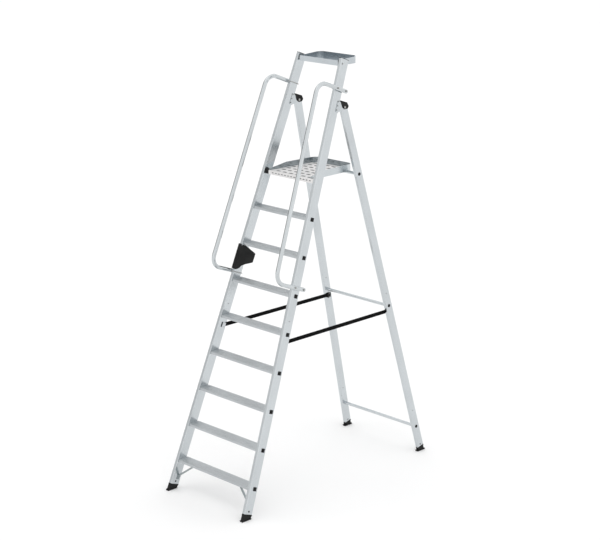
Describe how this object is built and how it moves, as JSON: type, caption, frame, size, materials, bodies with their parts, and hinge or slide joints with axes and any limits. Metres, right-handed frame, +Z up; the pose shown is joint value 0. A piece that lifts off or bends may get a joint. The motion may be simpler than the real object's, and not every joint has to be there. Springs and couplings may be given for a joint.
{
  "type": "platform step ladder",
  "caption": "Folding aluminium platform step ladder with flat treads, a standing platform, hand rails and a tool tray.",
  "frame": {"origin": "on the floor, in the middle of the footprint", "axes": "+Z up, the climbing side faces -Y, X across the ladder's width"},
  "size_m": [0.7478, 1.7815, 2.8426],
  "materials": {
    "aluminium": "satin",
    "tread": "satin, ribbed",
    "sheet": "satin",
    "steel": "zinc plated",
    "plastic": "matte black",
    "rubber": "matte black",
    "webbing": "woven black"
  },
  "bodies": {
    "front_frame": {"stile_left": "aluminium", "stile_right": "aluminium", "stile_cap_left": "plastic", "stile_cap_right": "plastic", "front_foot_left": "plastic", "front_foot_right": "plastic", "front_sole_left": "rubber", "front_sole_right": "rubber", "step_1": "tread", "step_2": "tread", "step_3": "tread", "step_4": "tread", "step_5": "tread", "step_6": "tread", "step_7": "tread", "step_8": "tread", "brace_left": "aluminium", "brace_right": "aluminium", "handrail_left": "aluminium", "handrail_right": "aluminium", "u_bolt_left_upper": "steel", "u_bolt_left_lower": "steel", "u_bolt_right_upper": "steel", "u_bolt_right_lower": "steel", "grip_pad": "plastic", "hinge_bracket_left": "aluminium", "hinge_bracket_right": "aluminium", "hinge_cover_left": "plastic", "hinge_cover_right": "plastic", "hinge_bolt_left": "steel", "hinge_bolt_right": "steel", "platform_pin_left": "steel", "platform_pin_right": "steel", "tool_tray": "sheet", "tray_bolt_left": "steel", "tray_bolt_right": "steel", "strap_clamp_front_left": "plastic", "strap_clamp_front_right": "plastic", "strap_left": "webbing", "strap_right": "webbing"},
    "rear_frame": {"rear_leg_left": "aluminium", "rear_leg_right": "aluminium", "rear_foot_left": "plastic", "rear_foot_right": "plastic", "rear_sole_left": "rubber", "rear_sole_right": "rubber", "cross_tube_lower": "aluminium", "cross_tube_upper": "aluminium", "cross_tube_platform": "aluminium", "tube_plug_lower_left": "plastic", "tube_plug_lower_right": "plastic", "tube_plug_upper_left": "plastic", "tube_plug_upper_right": "plastic", "tube_plug_platform_left": "plastic", "tube_plug_platform_right": "plastic", "strap_clamp_rear_left": "plastic", "strap_clamp_rear_right": "plastic"},
    "platform": {"platform_deck": "sheet", "platform_block_left": "plastic", "platform_block_right": "plastic"}
  },
  "joints": [
    {"name": "rear_fold", "type": "hinge", "parent": "front_frame", "child": "rear_frame", "pos_m": [0, 0.1869, 2.52212], "axis": [-1, 0, 0], "range_deg": [0, 35.4], "deforming": ["strap_left", "strap_right"]},
    {"name": "platform_fold", "type": "hinge", "parent": "front_frame", "child": "platform", "pos_m": [0, -0.08063, 2.0775], "axis": [1, 0, 0], "range_deg": [0, 69.4]}
  ],
  "couplings": [
    {"joint": "platform_fold", "follows": "rear_fold", "ratio": 1.96}
  ]
}
